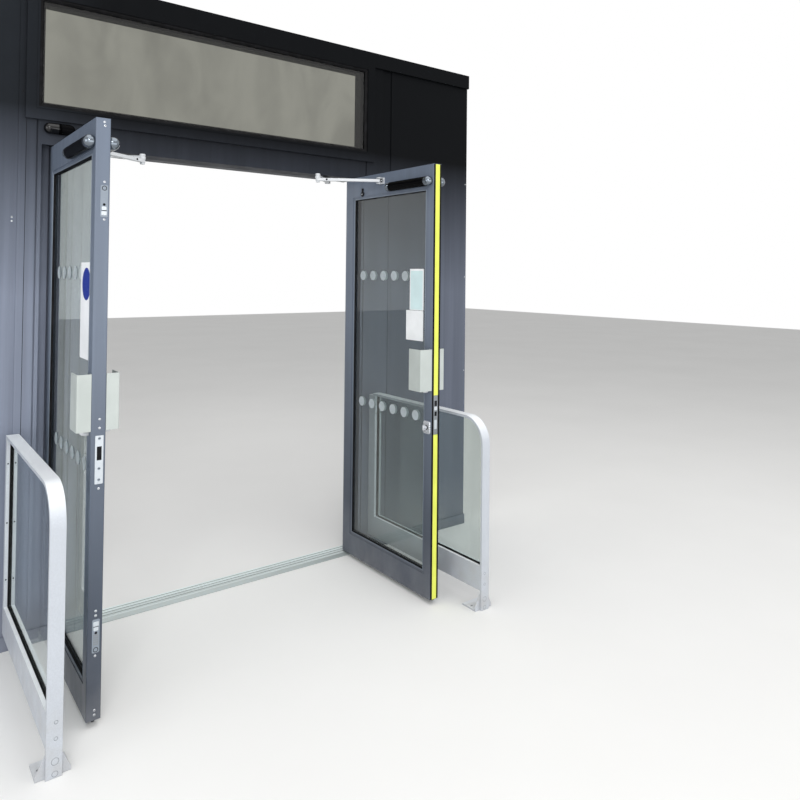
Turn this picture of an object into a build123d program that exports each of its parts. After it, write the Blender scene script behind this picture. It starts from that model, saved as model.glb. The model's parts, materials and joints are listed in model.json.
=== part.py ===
"""Automatic double swing door in an aluminium doorset, with a glazed transom light,
cladding panels at both sides and two guard barriers in front of them.
Millimetres, Z up. X runs along the facade, Y into the building, the front faces -Y.
The origin is on the ground, at the middle of the doorway, on the frame's outer face.
Both leaves are modelled standing open, square to the facade."""
from build123d import *
import math
import os

os.makedirs("parts", exist_ok=True)

SIDES = {"left": -1, "right": 1}

# Doorset
opening_half = 840.0
opening_top = 2136.0
frame_depth = 110.0
head_band = 84.0
cover_width = {"left": 90.0, "right": 135.0}
cover_groove = 6.0
groove_depth = 8.0
reveal_strip = 15.0
return_width = 35.0
return_front = 34.0
stop_width = 30.0
stop_depth = 14.0
facade_half = 1650.0
panel_setback = 4.0
panel_depth = 60.0
coupling_width = 65.0
coupling_setback = 9.0
skirting_height = 60.0
skirting_out = 8.0

# Transom light
header_height = 176.0
transom_height = 446.0
transom_glass_thickness = 28.0
transom_glass_setback = 2.0
gasket_width = 16.0
gasket_nose = 7.0
trim_width = 50.0
trim_drop = 55.0
trim_rise = 22.0
trim_thickness = 14.0
bead_width = 8.0
bead_out = 3.0

# Threshold
threshold_height = 14.0
threshold_nose = 4.0
threshold_ramp = 18.0
rib_count = 3
rib_width = 16.0
rib_pitch = 26.0
rib_depth = 2.0

# Leaves
leaf_thickness = 50.0
leaf_bottom = 24.0
head_clearance = 6.0
jamb_clearance = 6.0
stop_clearance = 8.0
leaf_setback = 3.0
meeting_gap = 14.0
pin_radius = 6.0
seat_gap = 0.3
stile_lock = 62.0
stile_hinge_outer = 81.0
stile_hinge_inner = 105.0
rail_top_height = 126.0
rail_bottom_height = 128.0
glazing_bead = 16.0
glazing_step = 3.0
leaf_glass_thickness = 24.0
glass_bite = 10.0
edge_radius = 4.0

# Leaf fittings
sensor_drop = 83.0
sensor_length = 368.0
sensor_radius = 24.0
sensor_depth = 38.0
sensor_end = 3.0
dome_steps = 2
handle_cover_low = 1028.0
handle_cover_height = 200.0
handle_cover_width = 90.0
handle_cover_depth = {"outer_left": 48.0, "inner_left": 45.0, "outer_right": 27.0, "inner_right": 71.0}
handle_cover_sheet = 3.0
handle_cover_foot = 20.0
handle_cover_bend = 4.0
strip_width = 31.0
strip_thickness = 1.5
strip_end = 2.0
lock_low = 815.0
lock_high = 1005.0

# Operator and arms
housing_depth = 120.0
housing_gap = 6.0
housing_height = 110.0
housing_radius = 14.0
spindle_inset = 105.0
spindle_back = 55.0
spindle_drop = 17.0
elbow_in = 245.0
elbow_out = 303.0
arm_fall = 21.0
arm_width = 24.0
arm_thickness = 10.0
forearm_thickness = 14.0
arm_spacing = 17.0
hub_radius = 16.0
hub_foot = 4.0
bolt_radius = 5.0
bolt_head_radius = 11.0
bolt_head = 8.0
bolt_clearance = 1.0
washer_radius = 14.0
shoe_along = 341.0
shoe_out = 22.0
shoe_length = 42.0
shoe_plate = 4.0
shoe_lug = 4.0
shoe_nose = 12.0
open_pivot_gap = 5.2

# Guard barriers
barrier_offset = 95.0
barrier_reach = 926.0
barrier_top = 905.0
bar_width = 48.0
bar_thickness = 12.0
hoop_radius = 125.0
upright_depth = 25.0
upright_gap = 35.0
wall_strip = 30.0
wall_strip_shift = 9.0
kick_bottom = 92.0
kick_top = 207.0
barrier_glass_thickness = 8.0
channel_slot = 16.0
channel_depth = 14.0
foot_width = 104.0
foot_depth = 90.0
foot_thickness = 8.0
foot_hole_spacing = 68.0
foot_hole_radius = 6.0
gusset_height = 72.0
gusset_thickness = 6.0
gusset_toe = 6.0

# Sensor on the header
header_sensor_inset = 67.0
header_sensor_rise = 70.0
header_sensor_length = 126.0

# What follows from the sizes above
clear_half = opening_half - return_width
transom_low = opening_top + header_height
transom_high = transom_low + transom_height
trim_top = transom_high + gasket_width + trim_rise
total_height = trim_top + head_band
cover_outer = {name: opening_half + width for name, width in cover_width.items()}
heel_radius = leaf_thickness / 2
pivot_x = clear_half - jamb_clearance - heel_radius
pivot_y = leaf_setback + heel_radius
leaf_free = pivot_x - meeting_gap / 2
leaf_top = opening_top - head_clearance
stop_front = pivot_y + heel_radius + stop_clearance
glass_low = leaf_bottom + rail_bottom_height
glass_high = leaf_top - rail_top_height
glass_start = stile_hinge_outer - heel_radius
bead_start = stile_hinge_inner - heel_radius
glass_end = leaf_free - stile_lock
housing_bottom = opening_top + housing_gap
spindle_x = clear_half - spindle_inset
spindle_y = frame_depth + spindle_back
elbow_x = spindle_x - elbow_in
elbow_y = spindle_y - elbow_out
spindle_arm_z = housing_bottom - spindle_drop
elbow_arm_z = spindle_arm_z - arm_fall
forearm_z = elbow_arm_z - arm_spacing
shoe_x = pivot_x - heel_radius - shoe_out
shoe_y = pivot_y - shoe_along
barrier_x = opening_half + barrier_offset
header_sensor_x = header_sensor_inset - opening_half
header_sensor_z = opening_top + header_sensor_rise


def save(builder, name):
    """Label a finished piece and write it."""
    builder.part.label = name
    export_step(builder.part, f"parts/{name}.step")


def leaf_plane(side, height):
    """Level plane at the pivot: X along the open leaf to its free edge, Y across the leaf, with the
    outer face at side * heel_radius."""
    return Plane(origin=(side * pivot_x, pivot_y, height), x_dir=(0, -1, 0), z_dir=(0, 0, 1))


def jamb(side, outer, name):
    """Upright of the doorset: grooved front cover, pivot return and the stop behind the leaf's heel."""
    groove = opening_half + reveal_strip
    with BuildPart() as post:
        with BuildSketch(Plane.XY) as cover:
            with BuildLine():
                Polyline(
                    (side * opening_half, 0),
                    (side * groove, 0),
                    (side * groove, groove_depth),
                    (side * (groove + cover_groove), groove_depth),
                    (side * (groove + cover_groove), 0),
                    (side * outer, 0),
                    (side * outer, frame_depth),
                    (side * opening_half, frame_depth),
                    close=True,
                )
            make_face()
        extrude(amount=trim_top)
        with BuildSketch(Plane.XY) as inner_return:
            with BuildLine():
                Polyline(
                    (side * clear_half, return_front),
                    (side * opening_half, return_front),
                    (side * opening_half, frame_depth),
                    (side * clear_half, frame_depth),
                    close=True,
                )
            make_face()
        extrude(amount=opening_top)
        with BuildSketch(Plane.XY.offset(threshold_height)) as stop:
            with Locations((side * (clear_half - stop_width / 2), stop_front + stop_depth / 2)):
                Rectangle(stop_width, stop_depth)
        extrude(amount=opening_top - threshold_height)
    save(post, name)


def header():
    """Member over the doorway, between the jambs."""
    with BuildPart() as member:
        with BuildSketch(Plane.XZ) as face:
            with Locations((0, (opening_top + transom_low) / 2)):
                Rectangle(2 * opening_half, transom_low - opening_top)
        extrude(amount=-frame_depth)
    save(member, "header")


def head_rail():
    """Head band over the transom light and both panels, with a lip down to the pane."""
    with BuildPart() as rail:
        with BuildSketch(Plane.XZ.offset(trim_thickness)) as band:
            with Locations((0, (trim_top + total_height) / 2)):
                Rectangle(2 * facade_half, total_height - trim_top)
        extrude(amount=-frame_depth - trim_thickness)
        with BuildSketch(Plane.XZ) as lip:
            with Locations((0, (transom_high + trim_top) / 2)):
                Rectangle(2 * opening_half, trim_top - transom_high)
        extrude(amount=-frame_depth)
    save(rail, "head_rail")


def ring_face(inner_grow, outer_side, outer_low, outer_high):
    """Frame-shaped face around the transom light, in the open sketch."""
    low = transom_low - outer_low
    high = transom_high + outer_high
    with Locations((0, (low + high) / 2)):
        Rectangle(2 * (opening_half + outer_side), high - low)
    with Locations((0, (transom_low + transom_high) / 2)):
        Rectangle(
            2 * (opening_half + inner_grow),
            transom_high - transom_low + 2 * inner_grow,
            mode=Mode.SUBTRACT,
        )


def transom_trim():
    """Raised trim around the transom light, with a bead along its inner edge."""
    side = gasket_width + trim_width
    with BuildPart() as ring:
        with BuildSketch(Plane.XZ) as face:
            ring_face(gasket_width, side, gasket_width + trim_drop, gasket_width + trim_rise)
        extrude(amount=trim_thickness)
        with BuildSketch(Plane.XZ.offset(trim_thickness)) as bead:
            edge = gasket_width + bead_width
            ring_face(gasket_width, edge, edge, edge)
        extrude(amount=bead_out)
    save(ring, "transom_frame")


def transom_gasket():
    """Black gasket that fills the step between the trim and the pane."""
    with BuildPart() as ring:
        with BuildSketch(Plane.XZ) as face:
            ring_face(0, gasket_width, gasket_width, gasket_width)
        extrude(amount=trim_thickness - bead_out)
        nose = ring.faces().sort_by(Axis.Y)[0].inner_wires()[0].edges()
        chamfer(nose, gasket_nose)
    save(ring, "transom_gasket")


def transom_light():
    """Clear pane of the transom light."""
    with BuildPart() as pane:
        with BuildSketch(Plane.XZ.offset(-transom_glass_setback)) as face:
            with Locations((0, (transom_low + transom_high) / 2)):
                Rectangle(2 * opening_half, transom_high - transom_low)
        extrude(amount=-transom_glass_thickness)
    save(pane, "transom_glass")


def threshold():
    """Low aluminium threshold with a ramped nose and ribbed bands."""
    with BuildPart() as sill:
        with BuildSketch(Plane.YZ.offset(-clear_half)) as profile:
            with BuildLine():
                Polyline(
                    (0, 0),
                    (0, threshold_nose),
                    (threshold_ramp, threshold_height),
                    (frame_depth, threshold_height),
                    (frame_depth, 0),
                    close=True,
                )
            make_face()
            with Locations(((threshold_ramp + frame_depth) / 2, threshold_height)):
                with GridLocations(rib_pitch, 0, rib_count, 1):
                    Rectangle(rib_width, 2 * rib_depth, mode=Mode.SUBTRACT)
        extrude(amount=2 * clear_half)
    save(sill, "threshold")


def cladding(side, inner, strip, name):
    """Cladding panel with its skirting and, where there is one, the recessed strip beside the jamb."""
    start = inner + strip
    middle = side * (start + facade_half) / 2
    with BuildPart() as panel:
        with BuildSketch(Plane.XY) as plan:
            with Locations((middle, panel_setback + panel_depth / 2)):
                Rectangle(facade_half - start, panel_depth)
            if strip > 0:
                depth = panel_setback + panel_depth - coupling_setback
                with Locations((side * (inner + strip / 2), coupling_setback + depth / 2)):
                    Rectangle(strip, depth)
        extrude(amount=trim_top)
        with BuildSketch(Plane.XY) as skirting:
            with Locations((middle, (panel_setback - skirting_out) / 2)):
                Rectangle(facade_half - start, panel_setback + skirting_out)
        extrude(amount=skirting_height)
    save(panel, name)


def operator():
    """Housing of the two operators, behind the header."""
    with BuildPart() as housing:
        with BuildSketch(Plane.YZ.offset(-opening_half)) as profile:
            with Locations((frame_depth + housing_depth / 2, housing_bottom + housing_height / 2)):
                Rectangle(housing_depth, housing_height)
            fillet(profile.vertices().group_by(Axis.X)[-1], housing_radius)
        extrude(amount=2 * opening_half)
    save(housing, "operator_housing")


def sensor_capsule(centre, along, length, wall):
    """Round bar with domed ends in a few conical steps, cut flat where it sits on its wall."""
    turns = [math.pi / 2 * k / dome_steps for k in range(dome_steps + 1)]
    reach = length / 2 - sensor_radius
    far_end = [(reach + sensor_radius * math.cos(t), sensor_radius * math.sin(t)) for t in turns]
    near_end = [(-x, y) for x, y in reversed(far_end)]
    with BuildSketch(Plane(origin=centre, x_dir=along, z_dir=(0, 0, 1))) as profile:
        with BuildLine():
            Polyline(*far_end, *near_end, close=True)
        make_face()
    revolve(profile.sketch, axis=Axis(centre, along))
    split(bisect_by=wall, keep=Keep.TOP)


def header_sensor():
    """Activation sensor on the outside of the header."""
    with BuildPart() as sensor:
        centre = (header_sensor_x, sensor_radius - sensor_depth, header_sensor_z)
        wall = Plane(origin=(header_sensor_x, 0, header_sensor_z), z_dir=(0, -1, 0))
        sensor_capsule(centre, (-1, 0, 0), header_sensor_length, wall)
    save(sensor, "header_sensor")


def presence_sensor(side, face, name):
    """Sensor bar on a face of the top rail, at the free edge."""
    outward = side if face == "outer" else -side
    face_x = side * pivot_x + outward * heel_radius
    middle_y = pivot_y - leaf_free + sensor_end + sensor_length / 2
    height = leaf_top - sensor_drop
    with BuildPart() as bar:
        centre = (face_x + outward * (sensor_depth - sensor_radius), middle_y, height)
        wall = Plane(origin=(face_x, middle_y, height), z_dir=(outward, 0, 0))
        sensor_capsule(centre, (0, 1, 0), sensor_length, wall)
    save(bar, name)


def leaf_stile_hinge(side, name):
    """Pivot stile with a round heel about the pivot, its glazing beads and its pivot pins."""
    with BuildPart() as stile:
        with BuildSketch(leaf_plane(side, leaf_bottom)) as plan:
            Circle(heel_radius)
            with Locations((glass_start / 2, side * heel_radius / 2)):
                Rectangle(glass_start, heel_radius)
            with Locations((bead_start / 2, -side * heel_radius / 2)):
                Rectangle(bead_start, heel_radius)
        extrude(amount=leaf_top - leaf_bottom)
        with BuildSketch(leaf_plane(side, threshold_height + seat_gap)) as pin:
            Circle(pin_radius)
        extrude(amount=leaf_bottom - threshold_height)
        with BuildSketch(leaf_plane(side, leaf_top)) as top_pin:
            Circle(pin_radius)
        extrude(amount=head_clearance - seat_gap)
        with BuildSketch(leaf_plane(side, glass_low - glass_bite)) as groove:
            start = glass_start - glass_bite
            with Locations(((start + bead_start + glass_bite) / 2, 0)):
                Rectangle(bead_start + glass_bite - start, leaf_glass_thickness)
        extrude(amount=glass_high - glass_low + 2 * glass_bite, mode=Mode.SUBTRACT)
        with BuildSketch(leaf_plane(side, glass_low - glazing_bead)) as beads:
            with Locations((glass_start, side * heel_radius), (bead_start, -side * heel_radius)):
                Rectangle(2 * glazing_bead, 2 * glazing_step)
        extrude(amount=glass_high - glass_low + 2 * glazing_bead, mode=Mode.SUBTRACT)
    save(stile, name)


def leaf_stile_lock(side, name):
    """Meeting stile with its glazing beads."""
    with BuildPart() as stile:
        with BuildSketch(leaf_plane(side, leaf_bottom)) as plan:
            with Locations((leaf_free - stile_lock / 2, 0)):
                Rectangle(stile_lock, leaf_thickness)
        extrude(amount=leaf_top - leaf_bottom)
        fillet(stile.edges().filter_by(Axis.Z).group_by(Axis.Y)[0], edge_radius)
        with BuildSketch(leaf_plane(side, glass_low - glass_bite)) as groove:
            with Locations((glass_end, 0)):
                Rectangle(2 * glass_bite, leaf_glass_thickness)
        extrude(amount=glass_high - glass_low + 2 * glass_bite, mode=Mode.SUBTRACT)
        with BuildSketch(leaf_plane(side, glass_low - glazing_bead)) as beads:
            with Locations((glass_end, heel_radius), (glass_end, -heel_radius)):
                Rectangle(2 * glazing_bead, 2 * glazing_step)
        extrude(amount=glass_high - glass_low + 2 * glazing_bead, mode=Mode.SUBTRACT)
    save(stile, name)


def leaf_rail(side, low, height, glass_edge, name):
    """Rail of a leaf between its stiles, notched over the wide inner bead of the pivot stile."""
    with BuildPart() as rail:
        with BuildSketch(leaf_plane(side, low)) as plan:
            with Locations(((glass_start + glass_end) / 2, side * heel_radius / 2)):
                Rectangle(glass_end - glass_start, heel_radius)
            with Locations(((bead_start + glass_end) / 2, -side * heel_radius / 2)):
                Rectangle(glass_end - bead_start, heel_radius)
        extrude(amount=height)
        with BuildSketch(leaf_plane(side, glass_edge - glass_bite)) as groove:
            with Locations(((glass_start + glass_end) / 2, 0)):
                Rectangle(glass_end - glass_start, leaf_glass_thickness)
        extrude(amount=2 * glass_bite, mode=Mode.SUBTRACT)
        with BuildSketch(leaf_plane(side, glass_edge - glazing_bead)) as beads:
            middle = (glass_start + glass_end) / 2
            with Locations((middle, heel_radius), (middle, -heel_radius)):
                Rectangle(glass_end - glass_start, 2 * glazing_step)
        extrude(amount=2 * glazing_bead, mode=Mode.SUBTRACT)
    save(rail, name)


def leaf_glass(side, name):
    """Pane of a leaf, seated in the grooves of its stiles and rails."""
    start = glass_start - glass_bite
    end = glass_end + glass_bite
    with BuildPart() as pane:
        with BuildSketch(leaf_plane(side, glass_low - glass_bite)) as plan:
            with Locations(((start + end) / 2, 0)):
                Rectangle(end - start, leaf_glass_thickness)
        extrude(amount=glass_high - glass_low + 2 * glass_bite)
    save(pane, name)


def handle_cover(side, face, depth, name):
    """Folded cover plate round the handle at the free edge, open above, below and towards the pivot."""
    outward = side if face == "outer" else -side
    wall = outward * heel_radius
    crest = outward * (heel_radius + depth)
    sheet = outward * handle_cover_sheet
    front = leaf_free - handle_cover_sheet
    with BuildPart() as cover:
        with BuildSketch(leaf_plane(side, handle_cover_low)) as plan:
            with BuildLine():
                Polyline(
                    (leaf_free - handle_cover_foot, wall),
                    (leaf_free, wall),
                    (leaf_free, crest),
                    (leaf_free - handle_cover_width, crest),
                    (leaf_free - handle_cover_width, crest - sheet),
                    (front, crest - sheet),
                    (front, wall + sheet),
                    (leaf_free - handle_cover_foot, wall + sheet),
                    close=True,
                )
            make_face()
            fillet(plan.vertices().sort_by_distance((leaf_free, crest))[0], handle_cover_bend)
        extrude(amount=handle_cover_height)
    save(cover, name)


def edge_strip():
    """Bright strip along the free edge of the right leaf, in two lengths around the lock."""
    with BuildPart() as strip:
        for low, high in ((leaf_bottom + strip_end, lock_low), (lock_high, leaf_top - strip_end)):
            with BuildSketch(leaf_plane(1, low)) as plan:
                with Locations((leaf_free + strip_thickness / 2, 0)):
                    Rectangle(strip_thickness, strip_width)
            extrude(amount=high - low)
    save(strip, "edge_strip_right")


def arm_shoe(side, name):
    """Forked bracket on the inner face of the top rail that takes the end of the forearm."""
    fork = forearm_thickness / 2 + open_pivot_gap
    plate_x = shoe_out + shoe_nose
    with BuildPart() as shoe:
        with BuildSketch(leaf_plane(side, forearm_z - fork - shoe_lug)) as back:
            with Locations((shoe_along, -side * (heel_radius + shoe_plate / 2))):
                Rectangle(shoe_length, shoe_plate)
        extrude(amount=2 * (fork + shoe_lug))
        for low in (forearm_z - fork - shoe_lug, forearm_z + fork):
            with BuildSketch(leaf_plane(side, low)) as lug:
                with Locations((shoe_along, -side * (heel_radius + plate_x / 2))):
                    Rectangle(arm_width + 2 * shoe_plate, plate_x)
                fillet(lug.vertices().sort_by(lambda v: -side * v.Y)[-2:], shoe_nose)
                with Locations((shoe_along, -side * (heel_radius + shoe_out))):
                    Circle(bolt_radius, mode=Mode.SUBTRACT)
            extrude(amount=shoe_lug)
    save(shoe, name)


def arm_bar(start, end, thickness):
    """Flat arm with rounded ends between two points, in the open part."""
    run = math.hypot(end[0] - start[0], end[1] - start[1])
    along = Vector(end[0] - start[0], end[1] - start[1], end[2] - start[2]).normalized()
    across = Vector(-(end[1] - start[1]) / run, (end[0] - start[0]) / run, 0)
    length = math.hypot(run, end[2] - start[2])
    with BuildSketch(Plane(origin=start, x_dir=along, z_dir=along.cross(across))) as outline:
        with Locations((length / 2, 0)):
            SlotCenterToCenter(length, arm_width)
    extrude(outline.sketch, amount=thickness / 2, both=True)


def main_arm(side, name):
    """Sloping operator arm with its spindle hub and the elbow bolt with head, washer and nut."""
    spindle = (side * spindle_x, spindle_y)
    elbow = (side * elbow_x, elbow_y)
    forearm_top = forearm_z + forearm_thickness / 2
    forearm_under = forearm_z - forearm_thickness / 2
    with BuildPart() as arm:
        arm_bar((*spindle, spindle_arm_z), (*elbow, elbow_arm_z), arm_thickness)
        with BuildSketch(Plane.XY.offset(spindle_arm_z - arm_thickness / 2 - hub_foot)):
            with Locations(spindle):
                Circle(hub_radius)
        extrude(amount=spindle_drop - seat_gap + arm_thickness / 2 + hub_foot)
        with BuildSketch(Plane.XY.offset(forearm_under - bolt_head)):
            with Locations(elbow):
                Circle(bolt_radius)
        extrude(amount=elbow_arm_z - forearm_under + bolt_head)
        with BuildSketch(Plane.XY.offset(forearm_top + seat_gap)):
            with Locations(elbow):
                Circle(washer_radius)
        extrude(amount=elbow_arm_z - forearm_top - seat_gap)
        for low in (forearm_under - seat_gap - bolt_head, elbow_arm_z + arm_thickness / 2):
            with BuildSketch(Plane.XY.offset(low)):
                with Locations(elbow):
                    RegularPolygon(bolt_head_radius, 6)
            extrude(amount=bolt_head)
    save(arm, name)


def forearm(side, name):
    """Level second arm from the elbow to the leaf."""
    elbow = (side * elbow_x, elbow_y)
    shoe = (side * shoe_x, shoe_y)
    with BuildPart() as arm:
        arm_bar((*elbow, forearm_z), (*shoe, forearm_z), forearm_thickness)
        with BuildSketch(Plane.XY.offset(forearm_z + forearm_thickness)):
            with Locations(elbow):
                Circle(bolt_radius + bolt_clearance)
            with Locations(shoe):
                Circle(bolt_radius)
        extrude(amount=-2 * forearm_thickness, mode=Mode.SUBTRACT)
    save(arm, name)


def hoop(side, name):
    """Bent flat bar of a guard barrier with its foot plate and two gussets."""
    x = side * barrier_x
    half = bar_thickness / 2
    foot_front = bar_thickness - barrier_reach
    with BuildPart() as bar:
        with BuildLine(Plane.YZ.offset(x)) as route:
            FilletPolyline(
                (-upright_gap, barrier_top - half),
                (-barrier_reach + half, barrier_top - half),
                (-barrier_reach + half, 0),
                radius=hoop_radius - half,
            )
        with BuildSketch(Plane(origin=route.line @ 0, x_dir=(1, 0, 0), z_dir=route.line % 0)) as section:
            Rectangle(bar_width, bar_thickness)
        sweep()
        with BuildSketch(Plane.XY) as foot:
            with Locations((x, foot_front + foot_depth / 2)):
                Rectangle(foot_width, foot_depth)
                with GridLocations(foot_hole_spacing, 0, 2, 1):
                    Circle(foot_hole_radius, mode=Mode.SUBTRACT)
        extrude(amount=foot_thickness)
        with BuildSketch(Plane.XZ.offset(-foot_front)) as gussets:
            toe = foot_width / 2
            with BuildLine():
                Polyline(
                    (x - toe, foot_thickness),
                    (x - toe, foot_thickness + gusset_toe),
                    (x - bar_width / 2, gusset_height),
                    (x + bar_width / 2, gusset_height),
                    (x + toe, foot_thickness + gusset_toe),
                    (x + toe, foot_thickness),
                    close=True,
                )
            make_face()
        extrude(amount=-gusset_thickness)
    save(bar, name)


def barrier_upright(side, name):
    """Rear channel of a guard barrier with its wall strip."""
    x = side * barrier_x
    face = -upright_gap - upright_depth
    with BuildPart() as upright:
        with BuildSketch(Plane.XY.offset(kick_bottom)) as plan:
            with Locations((x, face + upright_depth / 2)):
                Rectangle(bar_width, upright_depth)
            with Locations((x, face)):
                Rectangle(channel_slot, 2 * channel_depth, mode=Mode.SUBTRACT)
            with Locations((x - side * wall_strip_shift, -upright_gap / 2)):
                Rectangle(wall_strip, upright_gap)
        extrude(amount=barrier_top - bar_thickness - kick_bottom)
    save(upright, name)


def barrier_kick(side, name):
    """Deep bottom rail of a guard barrier with a glazing channel in its top."""
    x = side * barrier_x
    back = -upright_gap - upright_depth
    front = -barrier_reach + bar_thickness
    with BuildPart() as kick:
        with BuildSketch(Plane.XZ.offset(-back)) as section:
            with Locations((x, (kick_bottom + kick_top) / 2)):
                Rectangle(bar_width, kick_top - kick_bottom)
            with Locations((x, kick_top)):
                Rectangle(channel_slot, 2 * channel_depth, mode=Mode.SUBTRACT)
        extrude(amount=back - front)
    save(kick, name)


def barrier_glass(side, name):
    """Pane of a guard barrier, standing in the channels."""
    x = side * barrier_x
    back = -upright_gap - upright_depth + channel_depth
    front = -barrier_reach + bar_thickness
    low = kick_top - channel_depth
    high = barrier_top - bar_thickness
    with BuildPart() as pane:
        with BuildSketch(Plane.YZ.offset(x - barrier_glass_thickness / 2)) as outline:
            with Locations(((back + front) / 2, (low + high) / 2)):
                Rectangle(back - front, high - low)
            corner = outline.vertices().sort_by_distance((front, high))
            fillet(corner[0], hoop_radius - bar_thickness)
        extrude(amount=barrier_glass_thickness)
    save(pane, name)


header()
head_rail()
transom_trim()
transom_gasket()
transom_light()
threshold()
operator()
header_sensor()
edge_strip()

for side_name, side in SIDES.items():
    strip = coupling_width if side_name == "right" else 0
    jamb(side, cover_outer[side_name], f"jamb_{side_name}")
    cladding(side, cover_outer[side_name], strip, f"cladding_{side_name}")
    leaf_stile_hinge(side, f"hinge_stile_{side_name}")
    leaf_stile_lock(side, f"lock_stile_{side_name}")
    leaf_rail(side, glass_high, rail_top_height, glass_high, f"top_rail_{side_name}")
    leaf_rail(side, leaf_bottom, rail_bottom_height, glass_low, f"bottom_rail_{side_name}")
    leaf_glass(side, f"leaf_glass_{side_name}")
    for face in ("outer", "inner"):
        presence_sensor(side, face, f"sensor_{face}_{side_name}")
        depth = handle_cover_depth[f"{face}_{side_name}"]
        handle_cover(side, face, depth, f"handle_cover_{face}_{side_name}")
    arm_shoe(side, f"arm_shoe_{side_name}")
    main_arm(side, f"main_arm_{side_name}")
    forearm(side, f"forearm_{side_name}")
    hoop(side, f"barrier_hoop_{side_name}")
    barrier_upright(side, f"barrier_upright_{side_name}")
    barrier_kick(side, f"barrier_kick_{side_name}")
    barrier_glass(side, f"barrier_glass_{side_name}")
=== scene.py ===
import json
import math

import bmesh
import bpy
from mathutils import Matrix, Vector


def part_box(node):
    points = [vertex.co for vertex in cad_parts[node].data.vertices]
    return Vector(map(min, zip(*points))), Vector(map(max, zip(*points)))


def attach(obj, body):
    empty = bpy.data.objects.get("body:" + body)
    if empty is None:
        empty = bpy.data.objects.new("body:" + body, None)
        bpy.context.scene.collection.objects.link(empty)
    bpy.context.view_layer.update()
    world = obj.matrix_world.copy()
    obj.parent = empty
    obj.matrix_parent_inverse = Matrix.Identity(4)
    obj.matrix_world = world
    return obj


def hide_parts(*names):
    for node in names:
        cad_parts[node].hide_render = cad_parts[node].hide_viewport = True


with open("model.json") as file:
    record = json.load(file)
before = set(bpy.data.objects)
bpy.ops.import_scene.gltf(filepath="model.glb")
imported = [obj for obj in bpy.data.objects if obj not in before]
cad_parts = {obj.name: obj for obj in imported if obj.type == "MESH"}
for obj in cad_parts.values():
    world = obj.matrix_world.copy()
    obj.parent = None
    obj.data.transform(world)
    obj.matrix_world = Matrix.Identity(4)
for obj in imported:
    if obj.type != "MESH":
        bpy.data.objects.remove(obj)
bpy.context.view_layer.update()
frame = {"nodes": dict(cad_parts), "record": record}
NODES = frame["nodes"]
SIDES = {"left": -1, "right": 1}
MM = 0.001
X, Y, Z = Vector((1, 0, 0)), Vector((0, 1, 0)), Vector((0, 0, 1))

# Camera, from the photo's vanishing points: it stands outside, left of the doorway
EYE = Vector((-1.4275, -3.33, 1.585))
YAW, PITCH, ROLL = (math.radians(a) for a in (37.33, 1.0, 0.594))
SENSOR_WIDTH, LENS, SHIFT_Y = 36, 31.4, -0.1711

# Painted shade on the frame across the facade, X in metres: its plain coat left of the first value, darkened
# by painted shade right of the second
SHADE_TONE_FADE, SHADE_FILM_FADE = (-0.97, -0.6), (-0.95, -0.35)
SHADED_TONE = 0.22  # share of its brightness where painted shade darkens it

# Threshold from front to back: where each band starts in mm, and how bright it is; 0.4 is painted shade in a
# groove's corner
TREAD_DEPTH = 110
TREAD_TONES_AND_GROOVE_SHADE = ((0, 0.58), (17, 0.84), (29, 0.4), (32, 0.8), (44, 0.4), (46.5, 0.93), (55, 0.4), (58, 0.9),
               (70, 0.4), (72.5, 1.12), (81, 0.4), (84, 1.05), (96, 0.4), (98.5, 1.2))


# Materials

class Finish:
    """One procedural material: its shader and short ways to add nodes to it."""

    def __init__(self, name, colour, roughness, metallic=0.0):
        self.material = bpy.data.materials.new(name)
        self.material.use_nodes = True
        self.tree = self.material.node_tree
        self.shader = self.tree.nodes["Principled BSDF"]
        self.place = self.tree.nodes.new("ShaderNodeTexCoord").outputs["Object"]
        self.set("Base Color", (*colour, 1))
        self.set("Roughness", roughness)
        self.set("Metallic", metallic)

    def set(self, socket, value):
        self.shader.inputs[socket].default_value = value

    def link(self, output, socket):
        self.tree.links.new(output, self.shader.inputs[socket])

    def node(self, kind, inputs=(), **fields):
        made = self.tree.nodes.new(kind)
        for field, value in fields.items():
            setattr(made, field, value)
        for key, value in dict(inputs).items():
            if isinstance(value, bpy.types.NodeSocket):
                self.tree.links.new(value, made.inputs[key])
            else:
                made.inputs[key].default_value = value
        return made

    def noise(self, scale, detail, stretch=(1, 1, 1), distortion=0.0):
        at = self.node("ShaderNodeMapping", {"Vector": self.place, "Scale": stretch}).outputs[0]
        return self.node("ShaderNodeTexNoise", {
            "Vector": at, "Scale": scale, "Detail": detail, "Roughness": 0.55,
            "Distortion": distortion}).outputs["Fac"]

    def span(self, value, low, high, to_low=0.0, to_high=1.0):
        return self.node("ShaderNodeMapRange", {
            "Value": value, "From Min": low, "From Max": high, "To Min": to_low,
            "To Max": to_high}).outputs["Result"]

    def along(self, axis):
        return self.node("ShaderNodeSeparateXYZ", {"Vector": self.place}).outputs[axis]

    def maths(self, kind, a, b):
        return self.node("ShaderNodeMath", {0: a, 1: b}, operation=kind).outputs[0]

    def blend(self, amount, a, b):
        mixed = self.node("ShaderNodeMix", {"Factor": amount}, data_type="RGBA")
        for index, value in ((6, a), (7, b)):
            if isinstance(value, bpy.types.NodeSocket):
                self.tree.links.new(value, mixed.inputs[index])
            else:
                mixed.inputs[index].default_value = (*value, 1)
        return mixed.outputs[2]

    def soften(self, radius):
        """Rounds the look of sharp edges, so that they catch the light."""
        bevel = self.node("ShaderNodeBevel", {"Radius": radius * MM}, samples=4)
        self.link(bevel.outputs["Normal"], "Normal")

    def bump(self, height, strength, distance):
        made = self.node("ShaderNodeBump", {"Height": height, "Strength": strength,
                                            "Distance": distance})
        if self.shader.inputs["Normal"].is_linked:
            before = self.shader.inputs["Normal"].links[0].from_socket
            self.tree.links.new(before, made.inputs["Normal"])
        self.link(made.outputs["Normal"], "Normal")


def shade(colour, factor):
    return tuple(min(c * factor, 1.0) for c in colour)


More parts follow.
